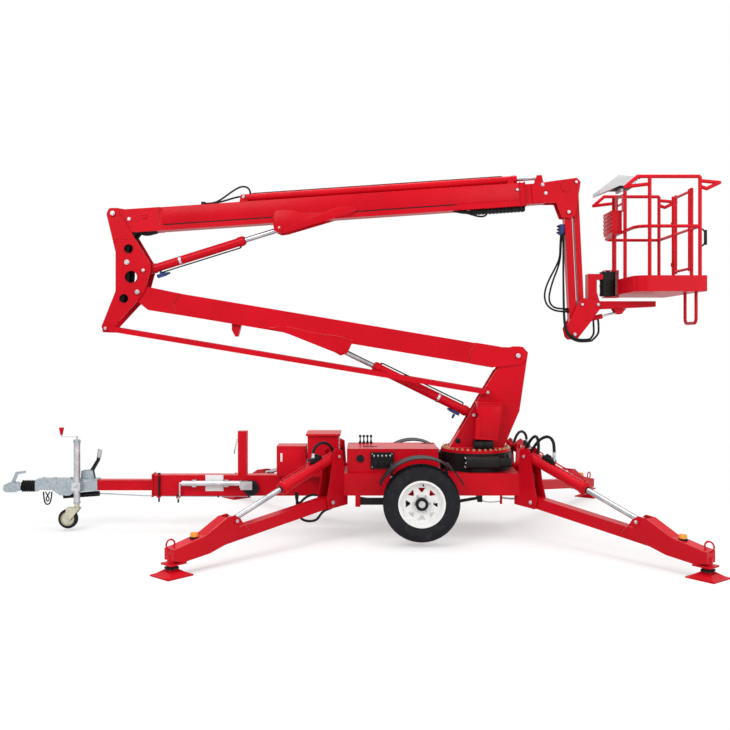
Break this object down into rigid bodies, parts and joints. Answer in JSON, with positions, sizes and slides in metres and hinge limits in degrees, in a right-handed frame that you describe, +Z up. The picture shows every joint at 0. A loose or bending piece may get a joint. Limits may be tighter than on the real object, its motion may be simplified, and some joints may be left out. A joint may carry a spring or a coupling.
{
  "type": "towable boom lift",
  "caption": "Trailer-mounted articulated boom lift on swing-down outriggers, with a telescopic upper boom, hanging jib and rotating railed work platform.",
  "frame": {"origin": "centre of the overall box at the level of the feet's soles", "axes": "+X from the tow hitch to the platform end, +Y across, +Z up"},
  "size_m": [6.7804, 4.0194, 3.4535],
  "materials": {
    "red_paint": "gloss",
    "galvanised_steel": "dull zinc",
    "black_rubber": "matt",
    "tyre_rubber": "matt",
    "white_paint": "satin",
    "black_plastic": "matt",
    "black_paint": "satin",
    "chrome_rod": "polished",
    "zinc_steel": "bright zinc",
    "grey_plastic": "matt"
  },
  "bodies": {
    "chassis": {"chassis_frame": "red_paint", "drawbar": "red_paint", "coupling": "galvanised_steel", "coupling_bellows": "black_rubber", "handbrake": "black_plastic", "jockey_post": "zinc_steel", "spare_jockey": "zinc_steel", "axle": "black_paint", "mudguards": "black_plastic", "battery_box": "red_paint", "power_box": "red_paint", "control_box": "red_paint", "controls": "black_plastic", "slew_ring": "black_paint"},
    "turret": {"turret": "red_paint", "turret_cover": "red_paint"},
    "lower_boom": {"lower_boom": "red_paint"},
    "level_link": {"level_link": "red_paint"},
    "knuckle": {"knuckle": "red_paint"},
    "lower_barrel": {"lower_barrel": "red_paint"},
    "lower_rod": {"lower_rod": "chrome_rod"},
    "upper_boom": {"upper_boom": "red_paint", "extend_barrel": "red_paint", "hose_tray": "black_paint"},
    "upper_barrel": {"upper_barrel": "red_paint"},
    "upper_rod": {"upper_rod": "chrome_rod"},
    "telescope": {"telescope_boom": "red_paint"},
    "jib_arm": {"jib_arm": "red_paint"},
    "jib_link": {"jib_link": "red_paint"},
    "jib_foot": {"jib_foot": "red_paint"},
    "level_barrel": {"level_barrel": "black_paint"},
    "level_rod": {"level_rod": "chrome_rod"},
    "carrier": {"platform_carrier": "red_paint", "platform_rotator": "black_paint"},
    "platform": {"platform_floor": "red_paint", "platform_rails": "red_paint", "platform_console": "grey_plastic", "tool_box": "red_paint"},
    "gate": {"platform_gate": "red_paint"},
    "wheel_near": {"tyre_near": "tyre_rubber", "rim_near": "white_paint"},
    "wheel_far": {"tyre_far": "tyre_rubber", "rim_far": "white_paint"},
    "jockey_fork": {"jockey_fork": "zinc_steel"},
    "jockey_wheel": {"jockey_wheel": "black_rubber"},
    "spare_wheel": {"spare_wheel": "black_rubber"},
    "power_lid": {"power_lid": "red_paint"},
    "leg_front_near": {"leg_front_near": "red_paint"},
    "leg_barrel_front_near": {"leg_barrel_front_near": "red_paint"},
    "leg_rod_front_near": {"leg_rod_front_near": "chrome_rod"},
    "leg_front_far": {"leg_front_far": "red_paint"},
    "leg_barrel_front_far": {"leg_barrel_front_far": "red_paint"},
    "leg_rod_front_far": {"leg_rod_front_far": "chrome_rod"},
    "leg_rear_near": {"leg_rear_near": "red_paint"},
    "leg_barrel_rear_near": {"leg_barrel_rear_near": "red_paint"},
    "leg_rod_rear_near": {"leg_rod_rear_near": "chrome_rod"},
    "leg_rear_far": {"leg_rear_far": "red_paint"},
    "leg_barrel_rear_far": {"leg_barrel_rear_far": "red_paint"},
    "leg_rod_rear_far": {"leg_rod_rear_far": "chrome_rod"}
  },
  "joints": [
    {"name": "turret_slew", "type": "hinge", "parent": "chassis", "child": "turret", "pos_m": [1.21441, 0, 0.75], "axis": [0, 0, 1], "range_deg": [0, 359]},
    {"name": "lower_boom_lift", "type": "hinge", "parent": "turret", "child": "lower_boom", "pos_m": [1.61441, 0, 1.693], "axis": [0, 1, 0], "range_deg": [-18, 45]},
    {"name": "link_swing", "type": "hinge", "parent": "turret", "child": "level_link", "pos_m": [1.31541, 0, 1.341], "axis": [0, 1, 0], "range_deg": [-18.5, 45.5]},
    {"name": "knuckle_level", "type": "hinge", "parent": "lower_boom", "child": "knuckle", "pos_m": [-2.06246, 0, 2.3083], "axis": [0, 1, 0], "range_deg": [-45.5, 18.5]},
    {"name": "lower_barrel_swing", "type": "hinge", "parent": "turret", "child": "lower_barrel", "pos_m": [1.18841, 0, 1.117], "axis": [0, 1, 0], "range_deg": [-17.17, 42.16]},
    {"name": "lower_rod_slide", "type": "slide", "parent": "lower_barrel", "child": "lower_rod", "axis": [-0.8985, 0, 0.4389], "range_m": [-0.2198, 0.5436]},
    {"name": "upper_boom_lift", "type": "hinge", "parent": "knuckle", "child": "upper_boom", "pos_m": [-2.30046, 0, 3.0673], "axis": [0, -1, 0], "range_deg": [-1.5, 50]},
    {"name": "upper_barrel_swing", "type": "hinge", "parent": "knuckle", "child": "upper_barrel", "pos_m": [-2.00546, 0, 2.5173], "axis": [0, -1, 0], "range_deg": [-1.88, 46.59]},
    {"name": "upper_rod_slide", "type": "slide", "parent": "upper_barrel", "child": "upper_rod", "axis": [0.9546, 0, 0.2979], "range_m": [-0.0195, 0.52]},
    {"name": "telescope_extend", "type": "slide", "parent": "upper_boom", "child": "telescope", "axis": [0.9977, 0, 0.068], "range_m": [0, 2.2]},
    {"name": "jib_swing", "type": "hinge", "parent": "telescope", "child": "jib_arm", "pos_m": [2.1076, 0, 3.08415], "axis": [0, -1, 0], "range_deg": [0, 110]},
    {"name": "jib_link_swing", "type": "hinge", "parent": "telescope", "child": "jib_link", "pos_m": [2.1806, 0, 3.37415], "axis": [0, -1, 0], "range_deg": [-0.5, 110.5]},
    {"name": "jib_foot_level", "type": "hinge", "parent": "jib_arm", "child": "jib_foot", "pos_m": [2.16559, 0, 1.89857], "axis": [0, -1, 0], "range_deg": [-110.5, 0.5]},
    {"name": "platform_level", "type": "hinge", "parent": "jib_foot", "child": "carrier", "pos_m": [2.39259, 0, 2.18757], "axis": [0, -1, 0], "range_deg": [-50.5, 2]},
    {"name": "level_barrel_swing", "type": "hinge", "parent": "jib_foot", "child": "level_barrel", "pos_m": [2.28759, 0, 2.03657], "axis": [0, -1, 0], "range_deg": [-31.91, 1.44]},
    {"name": "level_rod_slide", "type": "slide", "parent": "level_barrel", "child": "level_rod", "axis": [0.9694, 0, 0.2454], "range_m": [-0.1346, 0.0069]},
    {"name": "platform_turn", "type": "hinge", "parent": "carrier", "child": "platform", "pos_m": [2.50459, 0, 2.27157], "axis": [0, 0, 1], "range_deg": [-60, 60]},
    {"name": "gate_swing", "type": "hinge", "parent": "platform", "child": "gate", "pos_m": [3.19559, 0.136, 2.78757], "axis": [0, 0, -1], "range_deg": [0, 90]},
    {"name": "wheel_spin_near", "type": "hinge", "parent": "chassis", "child": "wheel_near", "pos_m": [0.63841, -0.7475, 0.387], "axis": [0, 1, 0], "continuous": true},
    {"name": "wheel_spin_far", "type": "hinge", "parent": "chassis", "child": "wheel_far", "pos_m": [0.63841, 0.7475, 0.387], "axis": [0, 1, 0], "continuous": true},
    {"name": "jockey_swivel", "type": "hinge", "parent": "chassis", "child": "jockey_fork", "pos_m": [-2.65059, -0.094, 0.25], "axis": [0, 0, 1], "continuous": true},
    {"name": "jockey_wheel_spin", "type": "hinge", "parent": "jockey_fork", "child": "jockey_wheel", "pos_m": [-2.73459, -0.094, 0.118], "axis": [0, 1, 0], "continuous": true},
    {"name": "spare_wheel_spin", "type": "hinge", "parent": "chassis", "child": "spare_wheel", "pos_m": [-0.96759, -0.098, 0.413], "axis": [0, 1, 0], "continuous": true},
    {"name": "power_lid_open", "type": "hinge", "parent": "chassis", "child": "power_lid", "pos_m": [-0.26559, 0.204, 0.9253], "axis": [-1, 0, 0], "range_deg": [0, 100]},
    {"name": "leg_lift_front_near", "type": "hinge", "parent": "chassis", "child": "leg_front_near", "pos_m": [-0.21559, -0.478, 0.35], "axis": [0.7431, -0.6691, 0], "range_deg": [-80, 4]},
    {"name": "leg_barrel_swing_front_near", "type": "hinge", "parent": "chassis", "child": "leg_barrel_front_near", "pos_m": [-0.15871, -0.41483, 0.763], "axis": [0.7431, -0.6691, 0], "range_deg": [-87.28, 4.84]},
    {"name": "leg_rod_slide_front_near", "type": "slide", "parent": "leg_barrel_front_near", "child": "leg_rod_front_near", "axis": [-0.6329, -0.703, -0.3244], "range_m": [-0.5335, 0.0305]},
    {"name": "leg_lift_front_far", "type": "hinge", "parent": "chassis", "child": "leg_front_far", "pos_m": [-0.21559, 0.478, 0.35], "axis": [-0.7431, -0.6691, 0], "range_deg": [-80, 4]},
    {"name": "leg_barrel_swing_front_far", "type": "hinge", "parent": "chassis", "child": "leg_barrel_front_far", "pos_m": [-0.15871, 0.41483, 0.763], "axis": [-0.7431, -0.6691, 0], "range_deg": [-87.28, 4.84]},
    {"name": "leg_rod_slide_front_far", "type": "slide", "parent": "leg_barrel_front_far", "child": "leg_rod_front_far", "axis": [-0.6329, 0.703, -0.3244], "range_m": [-0.5335, 0.0305]},
    {"name": "leg_lift_rear_near", "type": "hinge", "parent": "chassis", "child": "leg_rear_near", "pos_m": [1.71441, -0.478, 0.35], "axis": [0.788, 0.6157, 0], "range_deg": [-80, 4]},
    {"name": "leg_barrel_swing_rear_near", "type": "hinge", "parent": "chassis", "child": "leg_barrel_rear_near", "pos_m": [1.66208, -0.41102, 0.763], "axis": [0.788, 0.6157, 0], "range_deg": [-87.28, 4.84]},
    {"name": "leg_rod_slide_rear_near", "type": "slide", "parent": "leg_barrel_rear_near", "child": "leg_rod_rear_near", "axis": [0.5824, -0.7454, -0.3244], "range_m": [-0.5335, 0.0305]},
    {"name": "leg_lift_rear_far", "type": "hinge", "parent": "chassis", "child": "leg_rear_far", "pos_m": [1.71441, 0.478, 0.35], "axis": [-0.788, 0.6157, 0], "range_deg": [-80, 4]},
    {"name": "leg_barrel_swing_rear_far", "type": "hinge", "parent": "chassis", "child": "leg_barrel_rear_far", "pos_m": [1.66208, 0.41102, 0.763], "axis": [-0.788, 0.6157, 0], "range_deg": [-87.28, 4.84]},
    {"name": "leg_rod_slide_rear_far", "type": "slide", "parent": "leg_barrel_rear_far", "child": "leg_rod_rear_far", "axis": [0.5824, 0.7454, -0.3244], "range_m": [-0.5335, 0.0305]}
  ],
  "couplings": [
    {"joint": "link_swing", "follows": "lower_boom_lift", "ratio": 1},
    {"joint": "knuckle_level", "follows": "lower_boom_lift", "ratio": -1},
    {"joint": "lower_barrel_swing", "follows": "lower_boom_lift", "ratio": 0.92588},
    {"joint": "lower_rod_slide", "follows": "lower_boom_lift", "m_per_rad": 0.68701},
    {"joint": "upper_barrel_swing", "follows": "upper_boom_lift", "ratio": 0.92184},
    {"joint": "upper_rod_slide", "follows": "upper_boom_lift", "m_per_rad": 0.59127},
    {"joint": "jib_link_swing", "follows": "jib_swing", "ratio": 1},
    {"joint": "jib_foot_level", "follows": "jib_swing", "ratio": -1},
    {"joint": "platform_level", "follows": "upper_boom_lift", "ratio": -1},
    {"joint": "level_barrel_swing", "follows": "upper_boom_lift", "ratio": -0.62815},
    {"joint": "level_rod_slide", "follows": "upper_boom_lift", "m_per_rad": -0.15085},
    {"joint": "leg_barrel_swing_front_near", "follows": "leg_lift_front_near", "ratio": 1.0848},
    {"joint": "leg_rod_slide_front_near", "follows": "leg_lift_front_near", "m_per_rad": 0.3792},
    {"joint": "leg_barrel_swing_front_far", "follows": "leg_lift_front_far", "ratio": 1.0848},
    {"joint": "leg_rod_slide_front_far", "follows": "leg_lift_front_far", "m_per_rad": 0.3792},
    {"joint": "leg_barrel_swing_rear_near", "follows": "leg_lift_rear_near", "ratio": 1.0848},
    {"joint": "leg_rod_slide_rear_near", "follows": "leg_lift_rear_near", "m_per_rad": 0.3792},
    {"joint": "leg_barrel_swing_rear_far", "follows": "leg_lift_rear_far", "ratio": 1.0848},
    {"joint": "leg_rod_slide_rear_far", "follows": "leg_lift_rear_far", "m_per_rad": 0.3792}
  ]
}
